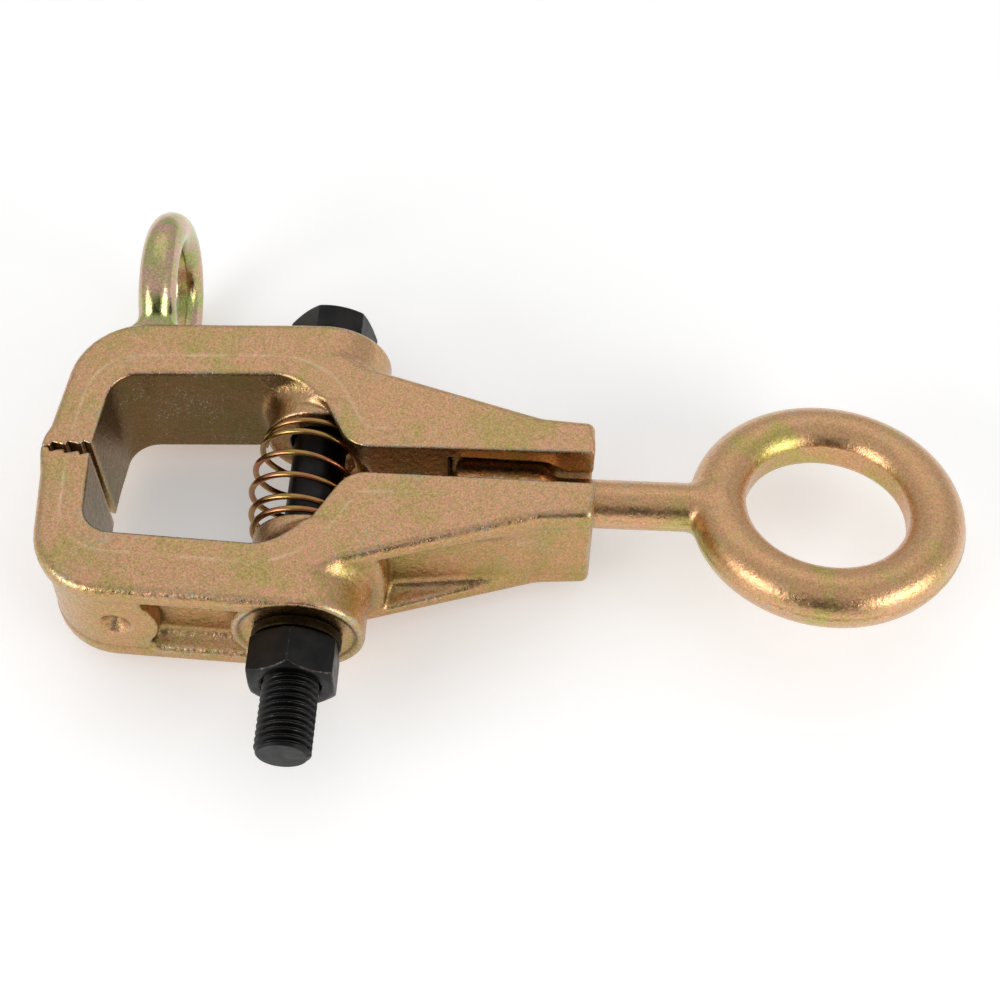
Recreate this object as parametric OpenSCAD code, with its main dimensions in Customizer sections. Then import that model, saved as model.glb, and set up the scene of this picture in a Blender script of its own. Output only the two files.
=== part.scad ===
// Two-way self-tightening pull clamp.
// Two cast jaws are strung on a cross bolt. A headed pull eye between their tails
// wedges the tails apart, which closes the toothed noses on a panel or flange.
// The drawing frame has its origin on the cross bolt's axis, midway between the jaws:
// X runs from the noses to the pull ring, Y across the jaws, Z up.

/* [Jaws] */
// Thickness of each jaw, bottom to top
jaw_t = 38.4; // [34:0.2:44]
// Cross bolt axis to the outer face of the noses
nose_x = 77.8; // [70:0.2:90]
// Wall of the nose, along X, at the teeth
nose_wall = 14.3; // [12:0.1:18]
// Centre plane to an arm's outer face, at the cross bolt
arm_y = 49.8; // [46:0.1:54]
// Wall of the arm, across Y
arm_wall = 19.8; // [18:0.1:22]
// Radius of the jaw's outer front corner
front_r = 22; // [14:0.5:24]
// Cross bolt axis to the end face of the tails
tail_x = 82.5; // [78:0.5:95]
// Centre plane to a tail's outer face, at its end
tail_y = 16.7; // [15.5:0.1:20]
// Half of the gap between the two tails
tail_gap = 4.4; // [3.5:0.1:6]
// Teeth along each nose
teeth = 3; // [2:1:5]
// Depth of a tooth
tooth_depth = 1.4; // [1:0.1:3]
// Width of the flat land in front of the first tooth's tip
tooth_land = 2.3; // [1:0.1:4]
// Furthest that each jaw rocks open, in degrees
rock_deg = 1.5; // [0.5:0.1:1.6]

/* [Cross bolt] */
// Bolt diameter
bolt_d = 16; // [12:1:18]
// Width across the flats of the head and the nut
hex_af = 24; // [22:0.1:26]
// Head thickness
head_t = 11.2; // [8:0.1:12]
// Turn of the bolt's head about its axis, in degrees
head_turn = 14.5; // [0:0.5:60]
// Nut thickness
nut_t = 13; // [10:0.5:16]
// Bolt length under the head
bolt_len = 137; // [120:1:160]
// Radius of the boss around the bolt on each jaw
boss_r = 19.2; // [18:0.1:22]
// Radius of the recess around the nut and around the head
recess_r = 16.4; // [15:0.1:16.5]

/* [Spring] */
// Wire diameter
wire_d = 1.9; // [1.5:0.1:2.2]
// Mean coil radius
coil_r = 15; // [13.5:0.1:15.4]
// Turns of wire from end to end
turns = 5.5; // [4.5:0.5:7.5]
// Part of a turn that lies closed at each end
closed_turns = 0.9; // [0.5:0.05:1.2]
// Sideways bow of the coil at its middle, beyond its ends
bow_mid = 2.1; // [0:0.1:2.4]

/* [Pull eye] */
// Cross bolt axis to the centre of the main ring
ring_x = 152; // [145:1:180]
// Mean radius of the main ring
ring_r = 32; // [28:0.5:38]
// Radius of the main ring's section
ring_bar_r = 8.6; // [7:0.1:10]
// Radius of the shank
shank_r = 7.3; // [6:0.1:8.2]
// Radius of the wedge head at its back end
wedge_r = 12; // [11.8:0.1:12.4]
// Turn of the pull eye about its shank at rest, in degrees
swivel = -8.4; // [-20:0.1:20]

/* [Side eye] */
// Bolt axis to the side eye's axis, towards the noses
side_x = 54; // [48:0.5:56]
// Mean radius of the side eye's ring
side_ring_r = 21; // [18:0.5:24]
// Radius of the ring's section
side_bar_r = 5.8; // [5:0.1:7]
// Radius of the collar
collar_r = 14; // [12:0.5:15]
// Thread diameter
side_thread_d = 12; // [10:1:12]

/* [Hidden] */
$fn = 96;

eps = 0.01;
half_t = jaw_t / 2;
bolt_r = bolt_d / 2;
cut = 60;

// Stack under the nut and under the head: rocker land, washer, hexagon.
pivot_y = 38;
land_r = 10.5;
land_y = pivot_y + land_r;
land_gap = 0.2;
recess_drop = 0.4;
washer_t = 2.9;
washer_r = 12.8;
washer_bore_r = bolt_r + 0.5;
washer_y = land_y + land_gap;
hex_y = washer_y + washer_t;
nut_gap = 0.05;
boss_y = arm_y + 0.2;
bolt_hole_r = bolt_r + 1;

// Outline corners of the far jaw's plate, as [x, y, corner radius].
arm_slope = 0.0386;
nose_lean = 0.095;
tip_y = 0.06;
tooth_rise = 1.3;
root_x = -nose_x + nose_wall;
arm_inner_y = arm_y - arm_wall;
front_x = -nose_x + nose_lean * arm_y;
hip_x = 67;
hip_y = tail_y + 1.1;
shoulder_y = hip_y + 0.307 * hip_x;
throat_back_x = -2.9;
tail_root_x = 11.3;
tooth_pitch = (nose_wall - tooth_land) / (teeth - 0.35);

// Steep flanks face the throat, so that a gripped edge cannot slip out.
tooth_points = [for (i = [teeth - 1:-1:0])
  let (back = tooth_land + i * tooth_pitch, y = tip_y + tooth_rise * back / nose_wall)
  each [[-nose_x + back + 0.25, y + tooth_depth, 0], [-nose_x + back, y, 0]]];

jaw_corners = concat(
  [[-nose_x, tip_y, 0],
   [front_x, arm_y + arm_slope * front_x, front_r],
   [0, arm_y, 0.5],
   [0, shoulder_y, 0],
   [hip_x, hip_y, 14],
   [tail_x, tail_y, 2.5],
   [tail_x, tail_gap + 0.8, 1],
   [tail_root_x, tail_gap, 10],
   [throat_back_x, arm_inner_y, 18],
   [root_x + 2.1, arm_inner_y - 2.6, 9],
   [root_x, tip_y + tooth_rise, 0]],
  tooth_points);

// Lightening pockets of the outer face.
pocket_half_z = 12.7;
pocket_depth = 6.4;
pocket_x0 = -44;
pocket_x1 = -13;
front_boss_r = 12.5;
front_boss_x = -52;
web_x0 = 24;
web_x1 = 62;
web_depth = 7.2;
dimple_r = 4.6;

// Inner side of a jaw: spring seat and wedge pocket.
seat_y = 17.5;
seat_r = 17;
seat_boss_r = 16.2;
eye_fit = 0.35;
seat_fit = 0.5;
shoulder_x = 67.5;
wedge_back_x = 42;
wedge_front_r = wedge_r - 0.6;
slot_half_y = shank_r + 0.3 + tail_x * sin(rock_deg);
slot_half_z = shank_r + 0.6;
seat_line = shoulder_x + wedge_front_r + seat_fit * sqrt(2);
wedge_room_0 = wedge_r + eye_fit + wedge_back_x * sin(rock_deg);
wedge_room_1 = wedge_front_r + eye_fit + shoulder_x * sin(rock_deg);
wedge_half_z = 14.4;

// Side eye.
spot_y = arm_y - arm_slope * (side_x + collar_r) - 0.05;
collar_t = 5;
neck_t = 6;
side_ring_y = spot_y + side_ring_r + side_bar_r - 0.2;
side_land_r = side_ring_r - side_bar_r + 0.3;
side_thread_len = 15.5;
thread_fit = 0.05;

// Spring.
wire_r = wire_d / 2;
closed_pitch = wire_d + 0.15;
coil_end_y = seat_y - 0.15 - wire_r;
active_turns = turns - 2 * closed_turns;
active_pitch = 2 * (coil_end_y - closed_pitch * closed_turns) / active_turns;
bow_end = 1.5;
steps_per_turn = 30;
wire_sides = 10;

// Main ring, and the neck that joins it to the shank.
ring_land_r = ring_r - ring_bar_r + 0.6;
ring_front_x = ring_x - ring_r - ring_bar_r;
neck_x = ring_front_x - 5;
neck_flare = 2.4;

steel_gold = [0.72, 0.58, 0.40];
eye_gold = [0.72, 0.68, 0.42];
black_oxide = [0.12, 0.12, 0.13];
washer_brown = [0.30, 0.22, 0.13];
spring_gold = [0.66, 0.50, 0.30];

function unit(v) = v / norm(v);

// Points of the arc that rounds corner q, between its neighbours p and s.
function round_corner(p, q, s, r, n = 10) =
  r <= 0 ? [q] :
  let (u = unit(p - q),
       w = unit(s - q),
       half = acos(u * w) / 2,
       c = q + unit(u + w) * r / sin(half),
       d0 = q + u * r / tan(half) - c,
       d1 = q + w * r / tan(half) - c,
       a0 = atan2(d0.y, d0.x),
       turn = (atan2(d1.y, d1.x) - a0 + 540) % 360 - 180)
  [for (i = [0:n]) c + r * [cos(a0 + turn * i / n), sin(a0 + turn * i / n)]];

function plan(v) = [v.x, v.y];

function rounded(path) =
  let (n = len(path))
  [for (i = [0:n - 1])
    each round_corner(plan(path[(i + n - 1) % n]), plan(path[i]), plan(path[(i + 1) % n]),
                      path[i][2])];

// The finished part's origin is the centre of the main ring.
module place() {
  translate([-ring_x, 0, 0]) children();
}

// A cylinder along +Y that starts at y0.
module across(x, y0, y1, r) {
  translate([x, y0, 0]) rotate([-90, 0, 0]) cylinder(r = r, h = y1 - y0);
}

// A plan outline given in X and Y, extruded over the height -z to +z.
module slab(points, z) {
  linear_extrude(height = 2 * z, center = true) polygon(points);
}

// A side outline given in X and Z, extruded over the width 0 to y.
module side_slab(points, y) {
  translate([0, y, 0]) rotate([90, 0, 0]) linear_extrude(height = y) polygon(points);
}

module box_between(low, high) {
  translate(low) cube(high - low);
}

module arm_pocket() {
  difference() {
    box_between([pocket_x0, arm_y - pocket_depth + arm_slope * pocket_x0, -pocket_half_z],
                [pocket_x1, cut, pocket_half_z]);
    across(front_boss_x, arm_inner_y, cut, front_boss_r);
    across(0, arm_inner_y, cut, boss_r);
  }
}

module web_pocket() {
  y0 = shoulder_y - 0.307 * web_x0;
  y1 = shoulder_y - 0.307 * web_x1;
  difference() {
    slab([[web_x0 - 4, y0 - web_depth + 0.5], [web_x1, y1], [web_x1, cut], [web_x0 - 4, cut]],
         pocket_half_z);
    across(0, 0, cut, web_x0);
  }
}

module wedge_pocket() {
  back = wedge_back_x - 2 - eye_fit;
  y1 = slot_half_y;
  end = tail_x + 1;
  intersection() {
    slab([[back, -1], [end, -1], [end, y1], [seat_line - y1, y1],
          [seat_line - wedge_room_1, wedge_room_1], [back, wedge_room_0]], half_t);
    side_slab([for (s = [1, -1])
      let (z = [[back, wedge_half_z], [shoulder_x + 1, wedge_half_z - 1.4],
                [shoulder_x + 5, slot_half_z], [end, slot_half_z]])
      each [for (i = [0:3]) [z[s > 0 ? i : 3 - i].x, s * z[s > 0 ? i : 3 - i].y]]], cut);
  }
}

// The far jaw, which lies at positive Y. The near jaw is its mirror image.
module jaw_blank() {
  difference() {
    union() {
      slab(rounded(jaw_corners), half_t);
      across(0, arm_inner_y, boss_y, boss_r);
      across(0, seat_y, arm_inner_y + 2, seat_boss_r);
    }
    arm_pocket();
    web_pocket();
    wedge_pocket();
    across(0, -1, seat_y, seat_r);
    difference() {
      across(0, land_y - recess_drop, cut, recess_r);
      translate([0, pivot_y, 0]) cylinder(r = land_r, h = 2 * (washer_r - 1), center = true);
    }
    across(0, -1, cut, bolt_hole_r);
  }
}

module near_jaw() {
  color(steel_gold) place() mirror([0, 1, 0]) difference() {
    jaw_blank();
    translate([front_boss_x, arm_y + arm_slope * front_boss_x - 1.6, 0])
      rotate([-90, 0, 0]) cylinder(r1 = 0.6, r2 = dimple_r + 0.6, h = 2.2);
  }
}

module far_jaw() {
  color(steel_gold) place() difference() {
    jaw_blank();
    across(-side_x, spot_y, cut, collar_r + 1);
    across(-side_x, spot_y - side_thread_len - 1, cut, side_thread_d / 2 + thread_fit);
  }
}

// A hexagon along +Y from y0, chamfered at its outer end.
module hexagon(y0, t, turn) {
  corner_r = hex_af / sqrt(3);
  chamfer = (corner_r - hex_af / 2) * 0.6;
  translate([0, y0, 0]) rotate([-90, 0, 0]) intersection() {
    rotate([0, 0, turn]) cylinder(r = corner_r, h = t, $fn = 6);
    rotate_extrude() polygon([[0, 0], [corner_r + eps, 0], [corner_r + eps, t - chamfer],
                              [hex_af / 2 - 0.4, t], [0, t]]);
  }
}

module cross_bolt() {
  tip_y = hex_y - bolt_len;
  chamfer = 1;
  color(black_oxide) place() {
    hexagon(hex_y, head_t, head_turn);
    translate([0, tip_y, 0]) rotate([-90, 0, 0]) rotate_extrude()
      polygon([[0, 0], [bolt_r - chamfer, 0], [bolt_r, chamfer], [bolt_r, bolt_len + 1],
               [0, bolt_len + 1]]);
  }
}

module cross_nut() {
  color(black_oxide) place() mirror([0, 1, 0]) difference() {
    hexagon(hex_y + nut_gap, nut_t, 90);
    across(0, 0, cut + 20, bolt_r + thread_fit);
  }
}

module washer() {
  difference() {
    across(0, washer_y, hex_y, washer_r);
    across(0, washer_y - 1, hex_y + 1, washer_bore_r);
  }
}

module head_washer() {
  color(washer_brown) place() washer();
}

module nut_washer() {
  color(washer_brown) place() mirror([0, 1, 0]) washer();
}

// Place of the wire's centre along Y after t turns, and the coil's sideways bow there.
function coil_y(t) =
  t > turns / 2 ? -coil_y(turns - t) :
  t < closed_turns ? coil_end_y - closed_pitch * t :
  coil_end_y - closed_pitch * closed_turns - active_pitch * (t - closed_turns);

function coil_bow(y) = -bow_end - bow_mid * cos(90 * y / coil_end_y);

function coil_point(t) =
  let (y = coil_y(t))
  [coil_bow(y) - coil_r * cos(360 * t), y, coil_r * sin(360 * t)];

module jaw_spring() {
  n = steps_per_turn * turns;
  rings = [for (i = [0:n])
    let (t = i / steps_per_turn,
         out = [-cos(360 * t), 0, sin(360 * t)])
    [for (k = [0:wire_sides - 1])
      coil_point(t) + wire_r * (out * cos(360 * k / wire_sides) + [0, sin(360 * k / wire_sides), 0])]];
  faces = concat(
    [[for (k = [0:wire_sides - 1]) k]],
    [[for (k = [wire_sides - 1:-1:0]) n * wire_sides + k]],
    [for (i = [0:n - 1], k = [0:wire_sides - 1])
      let (a = i * wire_sides, b = a + wire_sides, m = (k + 1) % wire_sides)
      each [[a + k, b + m, a + m], [a + k, b + k, b + m]]]);
  color(spring_gold) place()
    polyhedron(points = [for (ring = rings) each ring], faces = faces, convexity = 10);
}

module pull_eye() {
  color(eye_gold) place() rotate([swivel, 0, 0]) difference() {
    union() {
      translate([ring_x, 0, 0]) rotate_extrude() translate([ring_r, 0]) circle(r = ring_bar_r);
      rotate([0, 90, 0]) rotate_extrude()
        polygon([[0, neck_x], [shank_r, neck_x], [shank_r + neck_flare, ring_front_x + 3],
                 [shank_r + neck_flare, ring_x - ring_r], [0, ring_x - ring_r]]);
    }
    translate([ring_x, 0, 0]) cylinder(r = ring_land_r, h = 3 * ring_bar_r, center = true);
  }
}

module pull_shank() {
  back_x = wedge_back_x;
  color(eye_gold) place() rotate([0, 90, 0]) rotate_extrude()
    polygon([[0, back_x], [wedge_r - 1.5, back_x], [wedge_r, back_x + 1.5],
             [wedge_front_r, shoulder_x], [shank_r, shoulder_x + wedge_front_r - shank_r],
             [shank_r, neck_x], [0, neck_x]]);
}

module side_eye() {
  color(eye_gold) place() difference() {
    union() {
      translate([-side_x, side_ring_y, 0]) rotate([0, 90, 0])
        rotate_extrude() translate([side_ring_r, 0]) circle(r = side_bar_r);
      across(-side_x, spot_y, spot_y + collar_t, collar_r);
      translate([-side_x, spot_y + collar_t, 0]) rotate([-90, 0, 0])
        cylinder(r1 = collar_r - 2, r2 = side_bar_r + 1, h = neck_t);
      across(-side_x, spot_y - side_thread_len, spot_y + 1, side_thread_d / 2);
    }
    translate([-side_x, side_ring_y, 0]) rotate([0, 90, 0])
      cylinder(r = side_land_r, h = 3 * side_bar_r, center = true);
  }
}

near_jaw();
far_jaw();
cross_bolt();
cross_nut();
head_washer();
nut_washer();
jaw_spring();
pull_eye();
pull_shank();
side_eye();
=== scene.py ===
"""Self-tightening pull clamp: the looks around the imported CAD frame.

Cast and forged shapes are signed distance fields in millimetres, drawn in the clamp's own axes: origin on
the cross bolt, X from the noses to the pull ring, Y across the jaws, Z up. A CAD node's mesh is remeshed and
drawn onto its field, which adds the fillets, draft and parting lines. Finished meshes are in metres in the
row frame.
"""

import math

import bmesh
import bpy
import numpy as np
from mathutils import Matrix, Vector


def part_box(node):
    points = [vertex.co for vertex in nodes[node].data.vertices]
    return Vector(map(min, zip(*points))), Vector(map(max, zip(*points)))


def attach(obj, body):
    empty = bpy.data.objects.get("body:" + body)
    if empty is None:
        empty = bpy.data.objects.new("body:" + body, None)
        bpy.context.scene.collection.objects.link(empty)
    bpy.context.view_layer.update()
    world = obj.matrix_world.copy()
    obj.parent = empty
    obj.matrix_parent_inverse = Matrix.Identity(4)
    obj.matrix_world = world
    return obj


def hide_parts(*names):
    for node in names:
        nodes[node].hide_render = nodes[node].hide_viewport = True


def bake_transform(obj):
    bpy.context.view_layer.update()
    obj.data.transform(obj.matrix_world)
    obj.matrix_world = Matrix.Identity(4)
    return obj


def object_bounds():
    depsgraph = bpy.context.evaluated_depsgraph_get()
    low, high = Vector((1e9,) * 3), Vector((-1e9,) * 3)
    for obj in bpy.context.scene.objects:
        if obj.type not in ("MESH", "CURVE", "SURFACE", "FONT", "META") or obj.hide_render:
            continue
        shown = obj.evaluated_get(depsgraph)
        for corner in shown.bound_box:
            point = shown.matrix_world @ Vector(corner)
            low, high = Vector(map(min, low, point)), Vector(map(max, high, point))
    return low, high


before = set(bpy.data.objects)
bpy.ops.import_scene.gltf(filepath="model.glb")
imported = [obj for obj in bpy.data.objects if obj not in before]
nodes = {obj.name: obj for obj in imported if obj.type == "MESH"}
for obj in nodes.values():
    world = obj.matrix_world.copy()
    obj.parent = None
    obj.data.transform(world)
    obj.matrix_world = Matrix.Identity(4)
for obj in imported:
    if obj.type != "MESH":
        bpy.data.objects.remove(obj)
CAD_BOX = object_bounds()

MM = 0.001

# ------------------------------------------------------------------ dimensions, mm, in the clamp's own axes
BOLT_LOW, BOLT_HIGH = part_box("cross_bolt")
JAW_LOW, JAW_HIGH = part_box("far_jaw")
RING_X = -(BOLT_LOW.x + BOLT_HIGH.x) / 2 / MM
HALF_T = JAW_HIGH.z / MM
NOSE_X = -JAW_LOW.x / MM - RING_X
TAIL_X = JAW_HIGH.x / MM + RING_X
BOLT_TIP_Y = BOLT_LOW.y / MM
NOSE_WALL = 14.3
TIP_Y = 0.06
TOOTH_RISE = 1.3
TOOTH_DEPTH = 1.4
TOOTH_LAND = 2.3
TEETH = 3
ARM_Y = 49.8
ARM_WALL = 19.8
ARM_SLOPE = 0.0386
NOSE_LEAN = 0.095
FRONT_R = 22.0
TAIL_Y = 16.7
HIP_Y = TAIL_Y + 1.1
TAIL_GAP = 4.4
HIP_X = 67.0
TAIL_SLOPE = 0.307
BOSS_R = 19.2
BOSS_Y = 49.5
SEAT_Y = 17.5
SEAT_R = 17.0
SEAT_BOSS_R = 16.2
RECESS_R = 16.4
RECESS_Y = 48.1
BOLT_R = 8.0
BOLT_HOLE_R = 9.0
HEX_Y = 51.6
HEX_AF = 24.0
HEX_BEVEL = math.radians(30)
HEAD_T = 11.2
HEAD_TURN = 14.5
NUT_T = 13.0
NUT_GAP = 0.05
WASHER_T = 2.9
WASHER_R = 12.8
THREAD_PITCH = 2.0
THREAD_END_Y = -38.0
POCKET_Z = 12.7
ARM_POCKET_X = -27.75
ARM_POCKET_HALF = 14.75
ARM_POCKET_DEPTH = 6.4
WEB_POCKET_DEPTH = 8.0
SEAM_IN = 6.6
OUTSIDE_Y = 90.0
FRONT_BOSS_R = 12.5
FRONT_BOSS_X = -52.0
DIMPLE_R = 4.6
DIMPLE_DEPTH = 3.0
WEDGE_R = 12.0
WEDGE_FRONT_R = 11.4
WEDGE_BACK_X = 42.0
SHOULDER_X = 67.5
SHANK_R = 7.3
ROCK = math.radians(1.5)
EYE_FIT = 0.35
SEAT_FIT = 0.5
RING_R = 32.0
RING_BAR_R = 8.6
RING_LAND_R = 24.0
SWIVEL = math.radians(-8.4)
SIDE_X = 54.0
SIDE_RING_R = 21.0
SIDE_BAR_R = 5.8
SIDE_LAND_R = 15.5
SPOT_Y = 47.12
COLLAR_R = 14.0
COLLAR_T = 5.0
NECK_T = 6.0
SIDE_THREAD_R = 6.0
SIDE_THREAD_LEN = 15.5
SIDE_RING_Y = SPOT_Y + SIDE_RING_R + SIDE_BAR_R - 0.2
WIRE_R = 0.95
SEAT_GAP = 0.5  # the coil's clearance from its seats, so that they don't meet when the jaws rock
COIL_R = 15.0
COIL_TURNS = 5.5
CLOSED_TURNS = 0.9
BOW_END = 1.5
BOW_MID = 2.1

# ------------------------------------------------------------------ signed distance helpers


def smooth_min(a, b, k):
    h = np.maximum(k - np.abs(a - b), 0) / k
    return np.minimum(a, b) - h * h * k / 4


def smooth_max(a, b, k):
    return -smooth_min(-a, -b, k)


def ramp(x, low, high):
    t = np.clip((x - low) / (high - low), 0, 1)
    return t * t * (3 - 2 * t)


def rounded_cap(d_side, d_end, r):
    """The solid inside both distances, with its rim rounded to radius r."""
    u, v = d_side + r, d_end + r
    return np.minimum(np.maximum(u, v), 0) + np.hypot(np.maximum(u, 0), np.maximum(v, 0)) - r


def segment_distance(x, y, a, b):
    ab = b - a
    t = np.clip(((x - a[0]) * ab[0] + (y - a[1]) * ab[1]) / (ab @ ab), 0, 1)
    return np.hypot(x - a[0] - t * ab[0], y - a[1] - t * ab[1])


def path_distance(x, y, path, closed=False):
    pts = [np.array(p, float) for p in path]
    ends = pts[1:] + (pts[:1] if closed else [])
    d = np.full(x.shape, 1e9)
    for a, b in zip(pts, ends):
        d = np.minimum(d, segment_distance(x, y, a, b))
    return d


def inside(x, y, path):
    odd = np.zeros(x.shape, bool)
    for (ax, ay), (bx, by) in zip(path, path[1:] + path[:1]):
        if ay != by:
            odd ^= ((ay > y) != (by > y)) & (x < ax + (y - ay) * (bx - ax) / (by - ay))
    return odd


def corner_arc(p, q, s, r, n=10):
    """Points that round corner q, between its neighbours p and s."""
    p, q, s = (np.array(v[:2], float) for v in (p, q, s))
    if r <= 0:
        return [tuple(q)]
    u, w = (p - q) / np.linalg.norm(p - q), (s - q) / np.linalg.norm(s - q)
    half = math.acos(np.clip(u @ w, -1, 1)) / 2
    c = q + (u + w) / np.linalg.norm(u + w) * r / math.sin(half)
    d0, d1 = q + u * r / math.tan(half) - c, q + w * r / math.tan(half) - c
    a0, a1 = math.atan2(d0[1], d0[0]), math.atan2(d1[1], d1[0])
    turn = (a1 - a0 + 3 * math.pi) % (2 * math.pi) - math.pi
    angles = [a0 + turn * i / n for i in range(n + 1)]
    return [tuple(c + r * np.array([math.cos(a), math.sin(a)])) for a in angles]


def rounded_path(corners, closed=True):
    out = []
    n = len(corners)
    for i, c in enumerate(corners):
        if not closed and i in (0, n - 1):
            out.append(tuple(c[:2]))
        else:
            out += corner_arc(corners[i - 1], c, corners[(i + 1) % n], c[2])
    return out


class PlanField:
    """A distance field of X and Y, sampled once on a fine grid and read back between its points."""

    STEP = 0.2

    def __init__(self, field, low, high):
        self.low = np.array(low, float)
        self.size = [int((h - l) / self.STEP) + 2 for l, h in zip(low, high)]
        x = low[0] + self.STEP * np.arange(self.size[0])
        y = low[1] + self.STEP * np.arange(self.size[1])
        self.values = field(*np.meshgrid(x, y, indexing="ij"))

    def __call__(self, x, y):
        fx = np.clip((x - self.low[0]) / self.STEP, 0, self.size[0] - 1.001)
        fy = np.clip((y - self.low[1]) / self.STEP, 0, self.size[1] - 1.001)
        i, j = fx.astype(int), fy.astype(int)
        u, v = fx - i, fy - j
        g = self.values
        low = g[i, j] * (1 - u) + g[i + 1, j] * u
        high = g[i, j + 1] * (1 - u) + g[i + 1, j + 1] * u
        return low * (1 - v) + high * v


# ------------------------------------------------------------------ the jaw's field
SHOULDER_Y = HIP_Y + TAIL_SLOPE * HIP_X
FRONT_X = -NOSE_X + NOSE_LEAN * ARM_Y
ARM_INNER_Y = ARM_Y - ARM_WALL
ROOT_X = -NOSE_X + NOSE_WALL

OUTER_CORNERS = [
    (-NOSE_X, TIP_Y, 0),
    (FRONT_X, ARM_Y + ARM_SLOPE * FRONT_X, FRONT_R),
    (0, ARM_Y, 0.5),
    (0, SHOULDER_Y, 0),
    (HIP_X, HIP_Y, 14),
    (TAIL_X, TAIL_Y, 2.5),
]
INNER_CORNERS = [
    (TAIL_X, TAIL_GAP + 0.8, 1),
    (11.3, TAIL_GAP, 10),
    (-2.9, ARM_INNER_Y, 18),
    (ROOT_X + 2.1, ARM_INNER_Y - 2.6, 9),
    (ROOT_X, TIP_Y + TOOTH_RISE, 0),
]


def tooth_points():
    pitch = (NOSE_WALL - TOOTH_LAND) / (TEETH - 0.35)
    out = []
    for i in reversed(range(TEETH)):
        back = TOOTH_LAND + i * pitch
        x, y = -NOSE_X + back, TIP_Y + TOOTH_RISE * back / NOSE_WALL
        out += [(x + 0.25, y + TOOTH_DEPTH, 0), (x, y, 0)]
    return out


OUTLINE = rounded_path(OUTER_CORNERS + INNER_CORNERS + tooth_points())
OUTER_PATH = rounded_path(OUTER_CORNERS, closed=False)
INNER_PATH = rounded_path(INNER_CORNERS, closed=False)
PLAN_LOW, PLAN_HIGH = (-84, -5), (90, 60)


def outline_field(x, y):
    d = path_distance(x, y, OUTLINE, closed=True)
    return np.where(inside(x, y, OUTLINE), -d, d)


PLAN = PlanField(outline_field, PLAN_LOW, PLAN_HIGH)
TO_OUTER = PlanField(lambda x, y: path_distance(x, y, OUTER_PATH), PLAN_LOW, PLAN_HIGH)
TO_INNER = PlanField(lambda x, y: path_distance(x, y, INNER_PATH), PLAN_LOW, PLAN_HIGH)


def disc_y(p, x0, y0, y1, r, rim):
    """A cylinder along Y with rounded rims."""
    side = np.hypot(p[:, 0] - x0, p[:, 2]) - r
    return rounded_cap(side, np.abs(p[:, 1] - (y0 + y1) / 2) - (y1 - y0) / 2, rim)


def jaw_plate(p):
    """The flat casting, with a slightly lowered band round the throat and drawn-in side walls."""
    x, y, z = p.T
    plan, outer, inner = PLAN(x, y), TO_OUTER(x, y), TO_INNER(x, y)
    to_tip = ramp(y, 2, 9)
    rim = 0.3 + to_tip * (0.7 + 2.0 * ramp(inner - outer, -5, 5))
    band = (0.10 + 0.045 * np.maximum(SEAM_IN - inner, 0)) * ramp(SEAM_IN - inner, -0.3, 0.4)
    band = band * to_tip * (1 - ramp(x, 20, 40))
    plate = rounded_cap(plan, np.abs(z) - HALF_T + band, rim)
    depth = outer - 2 * np.maximum(plan, 0)
    inset = (0.75 + 0.5 * (1 - ramp(x, -68, -52))) * ramp(y, 6, 16) * (1 - ramp(x, -10, -2))
    inset = inset * (0.25 + 0.75 * ramp(z, -16, 8))
    waist = smooth_max(depth - inset, np.abs(z) - POCKET_Z - 0.6, 1.0)
    return smooth_max(plate, -waist, 0.5)


def arm_pocket(p):
    x, y, z = p.T
    floor = ARM_Y - ARM_POCKET_DEPTH + ARM_SLOPE * x
    ends = np.abs(x - ARM_POCKET_X) - ARM_POCKET_HALF - 0.08 * (y - floor)
    box = smooth_max(ends, np.abs(z) - POCKET_Z + 2.2 - 0.35 * (y - floor), 3.0)
    box = smooth_max(box, floor - y, 3.0)
    front = np.hypot(x - FRONT_BOSS_X, z) - FRONT_BOSS_R
    bolt = np.hypot(x, z) - BOSS_R + 0.3
    return smooth_max(smooth_max(box, -front, 1.5), -bolt, 1.5)


def web_pocket(p):
    x, y, z = p.T
    x0, x1 = 23.5, 63.0
    y0, y1 = SHOULDER_Y - TAIL_SLOPE * x0 - WEB_POCKET_DEPTH, SHOULDER_Y - TAIL_SLOPE * x1
    floor = y0 + (y1 - y0) * (x - x0) / (x1 - x0)
    box = smooth_max(np.abs(z) - POCKET_Z + 0.8 - 0.25 * (y - floor), (floor - y) * 0.98, 3.5)
    box = smooth_max(box, 24.0 - np.hypot(x, z * 0.55) - 0.1 * (y - floor), 2.0)
    return np.maximum(box, 5.0 - x)


def wedge_pocket(p):
    x, y, z = p.T
    back = WEDGE_BACK_X - 2 - EYE_FIT
    slot_y = SHANK_R + 0.3 + TAIL_X * math.sin(ROCK)
    seat_line = SHOULDER_X + WEDGE_FRONT_R + SEAT_FIT * math.sqrt(2)
    room = WEDGE_R + EYE_FIT + WEDGE_BACK_X * math.sin(ROCK)
    half_z = 14.4 - 1.4 * np.clip((x - back) / (SHOULDER_X - back), 0, 1)
    chamber = smooth_max(np.abs(z) - half_z, y - room, 3.0)
    chamber = smooth_max(chamber, np.maximum(back - x, (x + y - seat_line) / math.sqrt(2)), 1.0)
    chamber = smooth_max(chamber, (x + np.abs(z) - SHOULDER_X - half_z - 1.5) / math.sqrt(2), 2.0)
    slot = smooth_max(y - slot_y, np.abs(z) - SHANK_R - 0.9, 3.0)
    slot = np.maximum(slot, SHOULDER_X - 6 - x)
    return smooth_min(chamber, slot, 1.5)


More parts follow.
